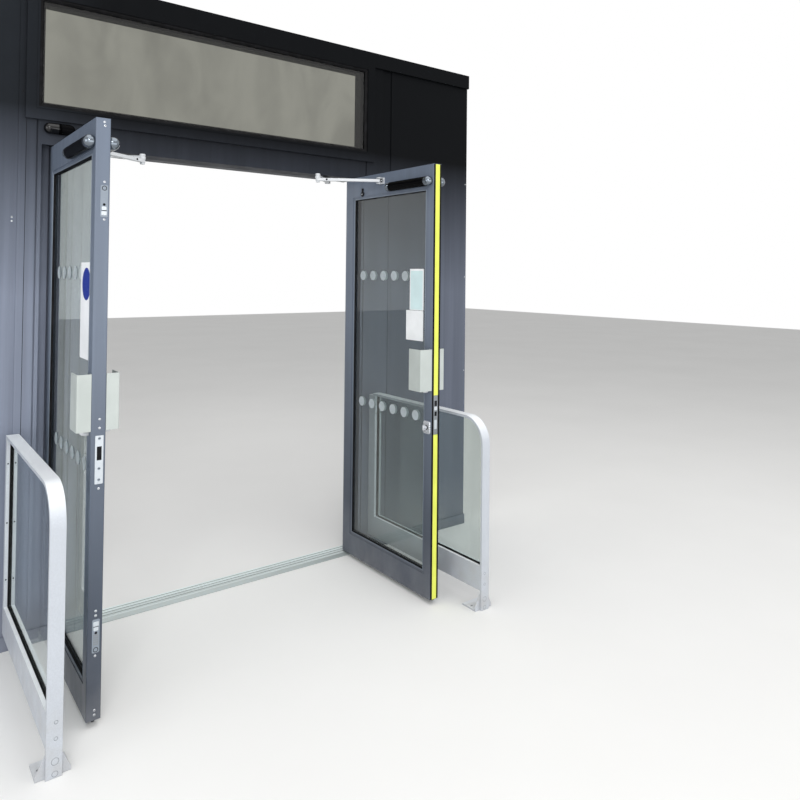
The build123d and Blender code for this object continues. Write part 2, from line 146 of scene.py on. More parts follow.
def paint(name, colour, film, painted_light_amount, painted_light_span, roughness=0.4, gloss=0.3, shaded_share=1.0):
    """Satin powder coat with painted light: a paler tone that fades over a span of heights stands in for
    light and shade, broken by rain streaks; dust low down.

    With a shaded share under 1 the coat is darker from the doorway's left edge on, painted shade that keeps
    only that share of the painted light.
    """
    f = Finish(name, colour, roughness)
    f.set("Specular IOR Level", gloss)
    cloud = f.blend(f.span(f.noise(2.3, 4), 0.35, 0.68), shade(colour, 0.86), shade(colour, 1.14))
    streaks = f.span(f.noise(1.0, 5, (26, 26, 0.7)), 0.3, 0.75, 0.74, 1.0)
    # Painted light and shade: the coat turns paler over a span of heights
    painted_light_fall = f.span(f.along("Z"), *painted_light_span, painted_light_amount, 0.0)
    if shaded_share < 1:
        # Painted shade: darker from the doorway's left edge on, with less of the painted light
        cloud = f.blend(f.span(f.along("X"), *SHADE_TONE_FADE, 1.0, 0.0), shade(colour, SHADED_TONE), cloud)
        painted_light_fall = f.maths("MULTIPLY", painted_light_fall, f.span(f.along("X"), *SHADE_FILM_FADE, 1.0, shaded_share))
    painted_light_coat = f.blend(f.maths("MULTIPLY", painted_light_fall, streaks), cloud, film)
    run = f.span(f.noise(1.0, 5, (60, 60, 1.1)), 0.56, 0.8, 0.0, 0.08)
    streaked_painted_light = f.blend(f.maths("MULTIPLY", painted_light_fall, run), painted_light_coat, shade(film, 1.4))
    low = f.span(f.along("Z"), 0.02, 0.32, 1.0, 0.0)
    patch = f.span(f.noise(9, 6, (1, 1, 0.6)), 0.32, 0.75, 0.2, 0.9)
    settled = f.maths("MULTIPLY", f.maths("MULTIPLY", low, patch), 0.4)
    f.link(f.blend(settled, streaked_painted_light, (0.30, 0.30, 0.31)), "Base Color")
    sheen = f.noise(14, 5, (1, 1, 0.35))
    f.link(f.span(sheen, 0.3, 0.75, roughness - 0.07, roughness + 0.13), "Roughness")
    f.soften(0.9)
    f.bump(f.noise(720, 2), 0.14, 0.0003)
    f.bump(f.noise(3.2, 2, (1, 1, 0.4)), 0.1, 0.0015)
    return f.material


def glass(name, tint, dirt_and_reflection_mottle=0.93):
    """Pane with a faint film of dirt that leaves its gloss sharp; smears darken its tint, as dirt and, where
    strong, as painted reflections.
    """
    f = Finish(name, tint, 0.0)
    f.set("IOR", 1.46)
    smear = f.noise(5.5, 7, (1, 1, 0.45), distortion=0.7)
    low = f.span(f.along("Z"), 0.1, 0.9, 0.03, 0.0)
    dull = f.maths("ADD", low, f.span(smear, 0.5, 0.8, 0.0, 0.012))
    f.link(f.maths("SUBTRACT", 1.0, dull), "Transmission Weight")
    # Smears darken the tint: dirt, and painted reflections where the mottle is strong
    f.link(f.blend(f.span(smear, 0.4, 0.7), tint, shade(tint, dirt_and_reflection_mottle)), "Base Color")
    return f.material


def metal(name, colour, roughness, metallic, grain, streak=(1, 1, 1), edge=0.0, dirt=0.5, painted_top_light=0.0):
    """Satin or drawn metal: fine grain, blotches of grey film, dirt low down, upper faces painted paler as
    painted light from above.
    """
    f = Finish(name, colour, roughness, metallic)
    drawn = f.noise(grain, 4, streak)
    film = f.span(f.noise(6.5, 6), 0.42, 0.75, 0.0, 0.4)
    tone = f.blend(f.span(drawn, 0.35, 0.65), shade(colour, 0.94), shade(colour, 1.05))
    low = f.maths("MULTIPLY", f.span(f.along("Z"), 0.0, 0.3, dirt, 0.0), f.span(f.noise(15, 6), 0.4, 0.7))
    dull = f.blend(film, tone, shade(colour, 0.88))
    # Painted light: faces that look up are paler
    if painted_top_light:
        facing = f.node("ShaderNodeNewGeometry").outputs["Normal"]
        upward = f.node("ShaderNodeSeparateXYZ", {"Vector": facing}).outputs["Z"]
        dull = f.blend(f.span(upward, 0.2, 0.9, 0.0, painted_top_light), dull, (0.92, 0.95, 0.98))
    f.link(f.blend(low, dull, (0.36, 0.34, 0.31)), "Base Color")
    f.link(f.span(f.noise(22, 5, streak), 0.3, 0.7, roughness - 0.07, roughness + 0.1), "Roughness")
    if edge:
        f.soften(edge)
    f.bump(drawn, 0.08, 0.0003)
    return f.material


def tread(name, colour):
    """Worn ribbed aluminium, brighter band by band towards the back, with painted shade in its groove
    corners.
    """
    f = Finish(name, colour, 0.42, 0.4)
    scratched = (1, 22, 22)
    ramp = f.node("ShaderNodeValToRGB", {"Fac": f.span(f.along("Y"), 0, TREAD_DEPTH * MM)})
    stops = ramp.color_ramp
    stops.interpolation = "CONSTANT"
    stops.elements.remove(stops.elements[1])
    for index, (start, tone) in enumerate(TREAD_TONES_AND_GROOVE_SHADE):
        stop = stops.elements[0] if index == 0 else stops.elements.new(start / TREAD_DEPTH)
        stop.color = (*shade(colour, tone), 1)
    scuffs = f.span(f.noise(5, 6, (1, 9, 9)), 0.45, 0.75, 0.0, 0.35)
    f.link(f.blend(scuffs, ramp.outputs["Color"], (0.38, 0.40, 0.39)), "Base Color")
    f.link(f.span(f.noise(22, 5, scratched), 0.3, 0.7, 0.35, 0.52), "Roughness")
    f.soften(0.5)
    f.bump(f.noise(38, 4, scratched), 0.08, 0.0003)
    return f.material


def rubber(name, colour=(0.003, 0.003, 0.0035)):
    f = Finish(name, colour, 0.6)
    f.set("Specular IOR Level", 0.1)
    f.link(f.blend(f.span(f.noise(26, 5), 0.45, 0.8), colour, shade(colour, 4)), "Base Color")
    f.link(f.span(f.noise(60, 4), 0.3, 0.7, 0.5, 0.75), "Roughness")
    f.bump(f.noise(900, 2), 0.2, 0.0003)
    return f.material


def plastic(name, colour, roughness, edge=0.0, gloss=0.5):
    """Moulded plastic or smooth coating with a faint grain and scuffs."""
    f = Finish(name, colour, roughness)
    f.set("Specular IOR Level", gloss)
    cloud = f.span(f.noise(8, 6), 0.35, 0.75)
    f.link(f.blend(cloud, shade(colour, 0.93), shade(colour, 1.07)), "Base Color")
    scuff = f.noise(1.0, 6, (160, 12, 160))
    f.link(f.span(scuff, 0.5, 0.85, roughness, roughness + 0.14), "Roughness")
    if edge:
        f.soften(edge)
    f.bump(f.noise(1100, 2), 0.08, 0.0002)
    return f.material


def frosted(name, colour):
    """Thin frosted film that lets light through from behind."""
    f = Finish(name, colour, 0.7)
    f.set("IOR", 1.15)
    f.set("Specular IOR Level", 0.3)
    cloud = f.noise(60, 4)
    f.link(f.span(cloud, 0.3, 0.7, 0.5, 0.62), "Transmission Weight")
    f.link(f.blend(f.span(cloud, 0.35, 0.7), shade(colour, 0.94), shade(colour, 1.05)), "Base Color")
    return f.material


def fitting(name, colour, roughness, metallic, dirt=0.1):
    """Small metal part, with a grain that runs across upright plates."""
    return metal(name, colour, roughness, metallic, grain=120, streak=(1, 1, 8), edge=0.4, dirt=dirt)


MATERIALS = {
    # The frame's coat is painted darker, as painted shade under the canopy, and the leaves' coat paler, as
    # painted light from the sky
    "frame_paint": paint("frame_paint", (0.0125, 0.0148, 0.0185), (0.255, 0.285, 0.365), 0.9, (1.48, 2.3),
                         roughness=0.42, gloss=0.05, shaded_share=0.6),
    "leaf_paint": paint("leaf_paint", (0.044, 0.055, 0.077), (0.170, 0.208, 0.275), 0.75, (1.35, 0.32),
                        roughness=0.36, gloss=0.4),
    # Paler copy of the leaf coat for the beads: a painted highlight on their arris
    "bead_highlight_paint": paint("bead_highlight_paint", (0.09, 0.115, 0.15), (0.25, 0.29, 0.345), 0.75, (1.35, 0.35),
                        roughness=0.36, gloss=0.4),
    "housing_paint": paint("housing_paint", (0.040, 0.044, 0.055), (0.11, 0.12, 0.15), 0.3, (0.5, 2.3),
                           roughness=0.45),
    # The doors' and the transom's tints are darker than clear glass: painted shade of the dim rooms seen
    # through them
    "glass": glass("glass", (0.53, 0.585, 0.57)),
    "transom_shade_tint": glass("transom_shade_tint", (0.25, 0.25, 0.215), dirt_and_reflection_mottle=0.72),
    "barrier_clear": glass("barrier_clear", (0.68, 0.745, 0.725)),
    "threshold_metal": tread("threshold_metal", (0.70, 0.78, 0.78)),
    "barrier_metal": metal("barrier_metal", (0.475, 0.505, 0.55), 0.42, 0.1, grain=260, edge=1.2,
                           painted_top_light=0.85),
    "sensor_black": plastic("sensor_black", (0.002, 0.002, 0.0025), 0.2, gloss=0.02),
    "sensor_window": plastic("sensor_window", (0.002, 0.002, 0.0025), 0.1, gloss=0.4),
    "sensor_dome": metal("sensor_dome", (0.17, 0.195, 0.225), 0.1, 0.9, grain=60),
    "gasket_black": rubber("gasket_black"),
    "cover_white": plastic("cover_white", (0.435, 0.472, 0.455), 0.48, edge=0.7),
    "arm_white": plastic("arm_white", (0.60, 0.62, 0.645), 0.36, edge=0.8),
    "strip_yellow": plastic("strip_yellow", (0.70, 0.745, 0.115), 0.5, gloss=0.3),
    "steel": fitting("steel", (0.52, 0.54, 0.57), 0.28, 0.7, dirt=0.2),
    "bright_plate": fitting("bright_plate", (0.52, 0.56, 0.60), 0.34, 0.3),
    "satin_plate": fitting("satin_plate", (0.215, 0.25, 0.295), 0.4, 0.15),
    "lock_grey": fitting("lock_grey", (0.22, 0.24, 0.26), 0.38, 0.4),
    "socket_black": rubber("socket_black", (0.006, 0.006, 0.007)),
    "sign_white": plastic("sign_white", (0.86, 0.88, 0.90), 0.45, gloss=0.35),
    "sign_blue": plastic("sign_blue", (0.010, 0.028, 0.27), 0.4, gloss=0.12),
    "sign_cyan": plastic("sign_cyan", (0.62, 0.78, 0.80), 0.45, gloss=0.35),
    "dot_grey": frosted("dot_grey", (0.66, 0.71, 0.74)),
}

SLOT_OF = {row["node"]: row["material_slot"] for row in frame["record"]["subparts"]}
# Panes that look different from their slot's glass
DRESSED = {"transom_glass": "transom_shade_tint", "barrier_glass_left": "barrier_clear",
           "barrier_glass_right": "barrier_clear"}
for node_name, node in NODES.items():
    node.data.materials.clear()
    node.data.materials.append(MATERIALS[DRESSED.get(node_name, SLOT_OF[node_name])])
    if "glass" in node_name:
        node.visible_shadow = False  # lamps shine through the panes


# Mesh helpers: patches, outlines and sizes are in millimetres, points in metres

class Patch:
    """A flat face in the frame: a point on it, two directions along it and one out of it."""

    def __init__(self, origin, u, v, w):
        self.origin, self.u, self.v, self.w = Vector(origin) * MM, u, v, w

    def at(self, a, b, c=0.0):
        return self.origin + (self.u * a + self.v * b + self.w * c) * MM

    def raised(self, level):
        return Patch(self.at(0, 0, level) / MM, self.u, self.v, self.w)


def piece(name, bm, body, materials, smooth=0.0):
    """Closes a mesh into a named piece on its body."""
    bmesh.ops.recalc_face_normals(bm, faces=bm.faces)
    mesh = bpy.data.meshes.new(name)
    bm.to_mesh(mesh)
    bm.free()
    made = bpy.data.objects.new(name, mesh)
    bpy.context.scene.collection.objects.link(made)
    for material in materials:
        mesh.materials.append(MATERIALS[material])
    if smooth:
        mesh.shade_smooth()
        mesh.set_sharp_from_angle(angle=math.radians(smooth))
    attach(made, body)
    return made


def round_turn(count):
    """Angles of equal steps once round."""
    return [2 * math.pi * k / count for k in range(count)]


def disc(radius, centre=(0, 0), count=24):
    """Circle as an outline that can be drawn in."""
    def outline(inset):
        r = radius - inset
        return [(centre[0] + r * math.cos(t), centre[1] + r * math.sin(t)) for t in round_turn(count)]
    return outline


def panel(low, high, radius, steps=5):
    """Rectangle with round corners as an outline that can be drawn in."""
    def outline(inset):
        r = max(radius - inset, 0.05)
        x0, y0, x1, y1 = low[0] + inset + r, low[1] + inset + r, high[0] - inset - r, high[1] - inset - r
        out = []
        for cx, cy, start in ((x1, y1, 0), (x0, y1, 1), (x0, y0, 2), (x1, y0, 3)):
            for k in range(steps + 1):
                t = math.pi / 2 * (start + k / steps)
                out.append((cx + r * math.cos(t), cy + r * math.sin(t)))
        return out
    return outline


def band(bm, row, following, material=0):
    """Closes the strip between two closed rows of vertices."""
    count = len(row)
    for k in range(count):
        n = (k + 1) % count
        bm.faces.new((row[k], row[n], following[n], following[k])).material_index = material


def raise_form(bm, patch, outline, levels, material=0):
    """Stands an outline on a patch through levels of (height, inset)."""
    rows = [[bm.verts.new(patch.at(a, b, level)) for a, b in outline(inset)] for level, inset in levels]
    for below, above in zip(rows, rows[1:]):
        band(bm, below, above, material)
    bm.faces.new(rows[0]).material_index = material
    bm.faces.new(rows[-1]).material_index = material


def ring(bm, patch, centre, inner, outer, low, high, material=0, count=28):
    """Flat ring with a soft crown."""
    shoulder = high - 0.2
    profile = ((inner, low), (inner, shoulder), ((inner + outer) / 2, high), (outer, shoulder), (outer, low))
    rows = []
    for t in round_turn(count):
        rows.append([bm.verts.new(patch.at(centre[0] + r * math.cos(t), centre[1] + r * math.sin(t), level))
                     for r, level in profile])
    for k in range(count):
        band(bm, rows[k], rows[(k + 1) % count], material)


def rim(bm, patch, low, high, profile, material=0):
    """Runs a closed profile of (inset, height) points round a rectangle, with mitred corners."""
    corners = []
    for sx, sy in ((0, 0), (1, 0), (1, 1), (0, 1)):
        row = []
        for inset, level in profile:
            a = high[0] - inset if sx else low[0] + inset
            b = high[1] - inset if sy else low[1] + inset
            row.append(bm.verts.new(patch.at(a, b, level)))
        corners.append(row)
    for k in range(4):
        band(bm, corners[k], corners[(k + 1) % 4], material)


def screw(bm, patch, a, b, radius):
    """Pan head screw with a dark socket in it, which is material 1: a flat patch of painted shade where the
    hollow of the socket is.
    """
    crown = 0.46 * radius
    raise_form(bm, patch, disc(radius, (a, b), 20),
               ((-0.2, 0), (0.2 * radius, 0), (0.36 * radius, 0.16 * radius), (crown, 0.5 * radius)))
    raise_form(bm, patch, disc(0.3 * radius, (a, b), 6), ((crown - 0.1, 0), (crown + 0.05, 0)), 1)


def tube(bm, route, radius, count=16):
    """Round bar along a route of points, with flat ends."""
    rows = []
    for k, point in enumerate(route):
        before, after = route[max(k - 1, 0)], route[min(k + 1, len(route) - 1)]
        along = (after - before).normalized()
        side = along.cross(Y if abs(along.y) < 0.9 else Z).normalized()
        other = along.cross(side)
        rows.append([bm.verts.new(point + (side * math.cos(t) + other * math.sin(t)) * radius * MM)
                     for t in round_turn(count)])
    for row, following in zip(rows, rows[1:]):
        band(bm, row, following)
    bm.faces.new(rows[0])
    bm.faces.new(rows[-1])


def capsule(bm, centre, along, radius, length, wall_point, wall_out, groove, shiny=(1, 1)):
    """Round bar with domed ends and a groove behind each, cut flat on its wall; the ends can be shiny."""
    side = along.cross(wall_out)
    half = length / 2 - radius
    steps, count = 9, 40
    dome = [math.pi / 2 * k / steps for k in range(1, steps + 1)]
    stations = [(-half - radius * math.cos(t), radius * math.sin(t)) for t in dome]
    seam = ((-1.2, 0), (-0.6, 0.9), (0.6, 0.9), (1.2, 0))
    stations += [(-half + groove + shift, radius - depth) for shift, depth in seam]
    stations += [(-x, r) for x, r in reversed(stations)]
    spokes = [side * math.cos(t) + wall_out * math.sin(t) for t in round_turn(count)]
    rows = [[bm.verts.new(centre + along * (x * MM) + spoke * (r * MM)) for spoke in spokes]
            for x, r in stations]
    last = len(rows) - 1
    for j in range(last):
        cap = shiny[0] if j < steps + 2 else shiny[1] if j > last - steps - 3 else 0
        band(bm, rows[j], rows[j + 1], cap)
    for row, sign, cap in ((rows[0], -1, shiny[0]), (rows[-1], 1, shiny[1])):
        tip = bm.verts.new(centre + along * (sign * length / 2 * MM))
        for k in range(count):
            bm.faces.new((row[k], row[(k + 1) % count], tip)).material_index = cap
    cut = bmesh.ops.bisect_plane(bm, geom=bm.verts[:] + bm.edges[:] + bm.faces[:], plane_co=wall_point,
                                 plane_no=wall_out, clear_inner=True)
    bmesh.ops.edgeloop_fill(bm, edges=[e for e in cut["geom_cut"] if isinstance(e, bmesh.types.BMEdge)])


# Sizes read from the frame, in millimetres

def extent(node):
    low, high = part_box(node)
    return low / MM, high / MM


GLASS_BITE = 10  # how far the edges of a pane reach into its leaf
LEAF = {}
for name, side in SIDES.items():
    lock_low, lock_high = extent(f"lock_stile_{name}")
    pane_low, pane_high = extent(f"leaf_glass_{name}")
    LEAF[name] = {
        "free": lock_low.y,
        "low": lock_low.z,
        "top": lock_high.z,
        "outer": max(abs(lock_low.x), abs(lock_high.x)),
        "inner": min(abs(lock_low.x), abs(lock_high.x)),
        "pane": (pane_low.y + GLASS_BITE, pane_low.z + GLASS_BITE,
                 pane_high.y - GLASS_BITE, pane_high.z - GLASS_BITE),
        "pane_inner": min(abs(pane_low.x), abs(pane_high.x)),
        "pane_outer": max(abs(pane_low.x), abs(pane_high.x)),
    }


def leaf_face(name, face, depth=None):
    """Patch on a face of a leaf or its pane: along Y, up Z, in the frame's own Y and Z."""
    side = SIDES[name]
    x = side * LEAF[name][depth or face]
    return Patch((x, 0, 0), Y, Z, X * side if face == "outer" else X * -side)


def edge_face(name):
    """Patch on the free edge of a leaf, measured in the frame's X and Z."""
    return Patch((0, LEAF[name]["free"], 0), X, Z, -Y)


# Sensors

def sensors():
    """Smooth sensor bars instead of the stepped ones of the frame."""
    for name in SIDES:
        for face in ("outer", "inner"):
            node = f"sensor_{face}_{name}"
            low, high = extent(node)
            patch = leaf_face(name, face)
            radius = (high.z - low.z) / 2
            wall = patch.at((low.y + high.y) / 2, (low.z + high.z) / 2)
            bm = bmesh.new()
            centre = wall + patch.w * (high.x - low.x - radius) * MM
            capsule(bm, centre, Y, radius, high.y - low.y, wall, patch.w, groove=14)
            bar = piece(f"sensor_bar_{face}_{name}", bm, f"leaf_{name}",
                        ["sensor_black", "sensor_dome"], 40)
            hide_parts(node)
    low, high = extent("header_sensor")
    radius = (high.z - low.z) / 2
    wall = Vector(((low.x + high.x) / 2, 0, (low.z + high.z) / 2)) * MM
    bm = bmesh.new()
    centre = wall - Y * (-low.y - radius) * MM
    capsule(bm, centre, X, radius, high.x - low.x, wall, -Y, groove=44, shiny=(1, 0))
    bar = piece("header_sensor_bar", bm, "doorset", ["sensor_black", "sensor_window"], 40)
    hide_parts("header_sensor")


# Leaf details

def glazing(name):
    """Black gasket round the pane on both faces, and the raised arris of the beads in a paler coat, a painted
    highlight.
    """
    y0, z0, y1, z1 = LEAF[name]["pane"]
    heel = 24  # the hinge stile covers this much more of the pane's inner face
    gasket = ((-0.8, 0.1), (-0.8, 9.2), (0.9, 9.4), (1.9, 7), (2.2, 0.1))
    arris = ((-5, 9.5), (-5, 10.4), (-4, 11.4), (-1.5, 11.4), (-0.6, 10.4), (-0.6, 9))
    for face, hinge_side in (("outer", y1), ("inner", y1 - heel)):
        patch = leaf_face(name, face, f"pane_{face}")
        low, high = (y0, z0), (hinge_side, z1)
        bm = bmesh.new()
        rim(bm, patch, low, high, gasket)
        piece(f"glazing_gasket_{face}_{name}", bm, f"leaf_{name}", ["gasket_black"])
        bm = bmesh.new()
        rim(bm, patch, low, high, arris)
        piece(f"glazing_bead_{face}_{name}", bm, f"leaf_{name}", ["bead_highlight_paint"])


def bottom_seal(name):
    """Black seal under the leaf."""
    leaf = LEAF[name]
    middle = SIDES[name] * (leaf["outer"] + leaf["inner"]) / 2
    margin, half_width = 6, 6
    patch = Patch((middle, leaf["free"] + margin, leaf["low"]), Y, X, -Z)
    outline = panel((0, -half_width), (-leaf["free"] - 2 * margin, half_width), 2, 3)
    bm = bmesh.new()
    raise_form(bm, patch, outline, ((-0.5, 0), (6, 0), (8, 1.5)))
    piece(f"bottom_seal_{name}", bm, f"leaf_{name}", ["gasket_black"])


def edge_gaskets():
    """Black gaskets whose lips close over both sides of the bright strip."""
    low, high = extent("edge_strip_right")
    leaf = LEAF["right"]
    outside, lap, margin = 7.5, 2.2, 2
    bm = bmesh.new()
    for near, far in ((low.x - outside, low.x + lap), (high.x - lap, high.x + outside)):
        outline = panel((near, leaf["low"] + margin), (far, leaf["top"] - margin), 1.5, 2)
        raise_form(bm, edge_face("right"), outline, ((-3.5, 0), (1.8, 0), (2.8, 1.2)))
    piece("edge_gaskets_right", bm, "leaf_right", ["gasket_black"])


def flush_bolt(bm, patch, low, high, upwards):
    """Face plate of a flush bolt: round guide at its bolt end, a hole, and the lever at the other end."""
    end_margin, hole_reach = 11, 58
    middle = (low[0] + high[0]) / 2
    guide, way = (high[1] - end_margin, -1) if upwards else (low[1] + end_margin, 1)
    raise_form(bm, patch, panel(low, high, 5), ((-0.3, 0), (0.7, 0), (1.1, 0.4)), 2)
    raise_form(bm, patch, disc(6, (middle, guide)), ((1.0, 0), (1.5, 0), (1.8, 0.6)), 2)
    # Painted shade: the dark ring round the guide, the hole and the gap before the lever are flat dark
    # patches
    ring(bm, patch, (middle, guide), 6.4, 8.6, 0.9, 1.3, 1)
    raise_form(bm, patch, disc(4.6, (middle, guide + way * hole_reach)), ((1.0, 0), (1.15, 0)), 1)
    field = (65, 78, 8, 3, 5, ((1.0, 0), (1.25, 0.1)), 3)
    lever = (81, 97, 9.5, 3, 5, ((1.0, 0), (2.6, 0.3), (3.4, 1.6)), 3)
    gap = (78.5, 81, 8, 0.8, 2, ((1.0, 0), (1.2, 0)), 1)
    for start, end, half, radius, steps, levels, material in (field, lever, gap):
        near, far = sorted((guide + way * start, guide + way * end))
        outline = panel((middle - half, near), (middle + half, far), radius, steps)
        raise_form(bm, patch, outline, levels, material)


def left_edge():
    """Bolts, lock plate and screws in the bare edge of the left leaf."""
    patch = edge_face("left")
    bm = bmesh.new()
    flush_bolt(bm, patch, (-781, 1779), (-755, 1893), True)
    flush_bolt(bm, patch, (-783, 257), (-758, 373), False)
    catch = panel((-779, 284), (-762, 322), 2)
    raise_form(bm, patch, catch, ((1.0, 0), (1.3, 0.2)), 4)
    catch_ribs = (290, 298, 306, 314)
    for z in catch_ribs:
        raise_form(bm, patch, panel((-777, z - 1.2), (-764, z + 1.2), 0.6, 2), ((1.2, 0), (1.6, 0.2)), 2)
    edge_screws = ((-771, 2116), (-769, 2103), (-768, 1904), (-767, 1771), (-770, 1069), (-770, 1038),
                   (-770, 827), (-772, 402), (-772, 386), (-772, 247), (-771, 59), (-771, 43))
    for x, z in edge_screws:
        screw(bm, patch, x, z, 4.4)
    piece("edge_fittings_left", bm, "leaf_left",
          ["steel", "socket_black", "satin_plate", "bright_plate", "lock_grey"])
    bm = bmesh.new()
    plate, bolt_hole = panel((-784, 843), (-756, 1012), 2.5), panel((-778, 926), (-762, 974), 1)
    raise_form(bm, patch, plate, ((-0.3, 0), (0.8, 0), (1.2, 0.4)))
    # Painted shade: the bolt hole and the slots of the screws are flat dark patches
    raise_form(bm, patch, bolt_hole, ((1.1, 0), (1.3, 0)), 1)
    slotted_screws = (1002, 897, 858)
    for z in slotted_screws:
        raise_form(bm, patch, disc(5, (-770, z)), ((1.1, 0), (1.5, 0.3), (1.7, 1.5)), 2)
        raise_form(bm, patch, panel((-774, z - 0.9), (-766, z + 0.9), 0.5, 2), ((1.6, 0), (1.8, 0)), 1)
    piece("lock_plate_left", bm, "leaf_left", ["bright_plate", "socket_black", "satin_plate"])


def right_lock():
    """Lock plate between the two lengths of bright strip, with its latch, and the thumb turn."""
    patch = edge_face("right")
    plate, plate_front = panel((761, 816), (787, 1004), 2), 1.2
    upper_hole, lower_hole = panel((766, 953), (782, 979), 1), panel((767, 905), (781, 926), 1)
    latch, insert = panel((765, 932), (783, 950), 1), panel((766, 842), (782, 886), 3)
    bm = bmesh.new()
    raise_form(bm, patch, plate, ((-0.3, 0), (0.9, 0), (1.3, 0.4)))
    # Painted shade: the two holes are flat dark patches
    raise_form(bm, patch, upper_hole, ((plate_front, 0), (1.4, 0)), 1)
    raise_form(bm, patch, latch, ((plate_front, 0), (2.6, 0.5), (4.2, 2.4)), 2)
    raise_form(bm, patch, lower_hole, ((plate_front, 0), (1.4, 0)), 1)
    raise_form(bm, patch, insert, ((plate_front, 0), (1.6, 0.3)), 2)
    for z in (993, 897, 826):
        screw(bm, patch.raised(plate_front), 774, z, 3.4)
    piece("lock_plate_right", bm, "leaf_right", ["lock_grey", "socket_black", "bright_plate"],
          30)
    face = leaf_face("right", "inner")
    spindle = (-711, 849)
    bm = bmesh.new()
    raise_form(bm, face, panel((-733, 818), (-687, 880), 9, 6), ((-0.3, 0), (6, 0), (8.5, 1.2), (9.4, 3.5)))
    # Painted shade: a dark disc under the knob shows as a ring of shadow round its foot
    raise_form(bm, face, disc(12, spindle, 32), ((9.3, 0), (13, 0)), 1)
    raise_form(bm, face, disc(10.5, spindle, 32), ((12.5, 0), (19, 0), (20.5, 1.2)))
    raise_form(bm, face, panel((-715, 836), (-707, 862), 3.5), ((20, 0), (30, 0), (31.5, 1.2)))
    for z in (826, 872):
        screw(bm, face.raised(9.2), -705, z, 3.2)
    piece("thumb_turn_right", bm, "leaf_right", ["steel", "socket_black"], 30)


def handles(name):
    """Pull handle behind each folded cover; its lower end shows under the cover."""
    radius, cover_sheet, play, longest_reach = 8.0, 3, 1.5, 26
    from_edge, under_cover, from_top = 35, {"outer": 11, "inner": 5}, 20
    for face in ("outer", "inner"):
        low, high = extent(f"handle_cover_{face}_{name}")
        patch = leaf_face(name, face)
        reach = min(high.x - low.x - cover_sheet - radius - play, longest_reach)
        y, z0, z1 = LEAF[name]["free"] + from_edge, low.z - under_cover[face], high.z - from_top
        route = []
        for z, turn in ((z0, 1), (z1, -1)):
            bend = min(14, reach - 1)
            corner = [patch.at(y, z, 0)]
            corner += [patch.at(y, z + turn * bend * (1 - math.cos(t)), reach - bend + bend * math.sin(t))
                       for t in (math.pi / 2 * k / 6 for k in range(7))]
            route += corner if turn == 1 else corner[::-1]
        bm = bmesh.new()
        tube(bm, route, radius)
        piece(f"pull_{face}_{name}", bm, f"leaf_{name}", ["arm_white"], 40)


def dots(name):
    """Two rows of frosted marking discs, on both faces of the pane."""
    rows, in_a_row, first, pitch, radius = (1582, 887), 6, -122, 95, 25.5
    bm = bmesh.new()
    for face in ("inner", "outer"):
        patch = leaf_face(name, face, f"pane_{face}")
        for z in rows:
            for k in range(in_a_row):
                raise_form(bm, patch, disc(radius, (first - pitch * k, z), 36), ((0.1, 0), (0.35, 0)))
    piece(f"marking_dots_{name}", bm, f"leaf_{name}", ["dot_grey"])


def signs():
    """Plain signs on the panes, without lettering."""
    patch = leaf_face("left", "outer", "pane_outer")
    board, emblem = panel((-649, 1265), (-507, 1621), 5), disc(60, (-590, 1541), 48)
    bm = bmesh.new()
    raise_form(bm, patch, board, ((0.1, 0), (0.9, 0), (1.2, 0.3)))
    raise_form(bm, patch, emblem, ((1.1, 0), (1.35, 0)), 1)
    piece("sign_left", bm, "leaf_left", ["sign_white", "sign_blue"])
    patch = leaf_face("right", "inner", "pane_inner")
    upper, upper_field = panel((-655, 1411), (-545, 1618), 4), panel((-648, 1414), (-552, 1608), 3)
    lower = panel((-654, 1259), (-517, 1409), 4)
    bm = bmesh.new()
    raise_form(bm, patch, upper, ((0.4, 0), (1.0, 0), (1.2, 0.2)))
    raise_form(bm, patch, upper_field, ((1.1, 0), (1.35, 0)), 1)
    raise_form(bm, patch, lower, ((0.4, 0), (1.0, 0), (1.3, 0.3)))
    piece("sign_right", bm, "leaf_right", ["sign_white", "sign_cyan"])


def rail_clip():
    """Dark clip with a bright screw on the right leaf's top rail, beside the pivot stile."""
    face = leaf_face("right", "inner")
    hub, tail = (-131, 2032), panel((-137, 2030), (-125, 2064), 4)
    bm = bmesh.new()
    raise_form(bm, face, disc(13, hub, 28), ((-0.2, 0), (5, 0), (7.5, 2.5)), 1)
    raise_form(bm, face, tail, ((-0.2, 0), (5, 0), (6, 1)), 1)
    screw(bm, face.raised(7.2), *hub, 4.5)
    piece("rail_clip_right", bm, "leaf_right", ["steel", "socket_black"], 30)


# Operator arms

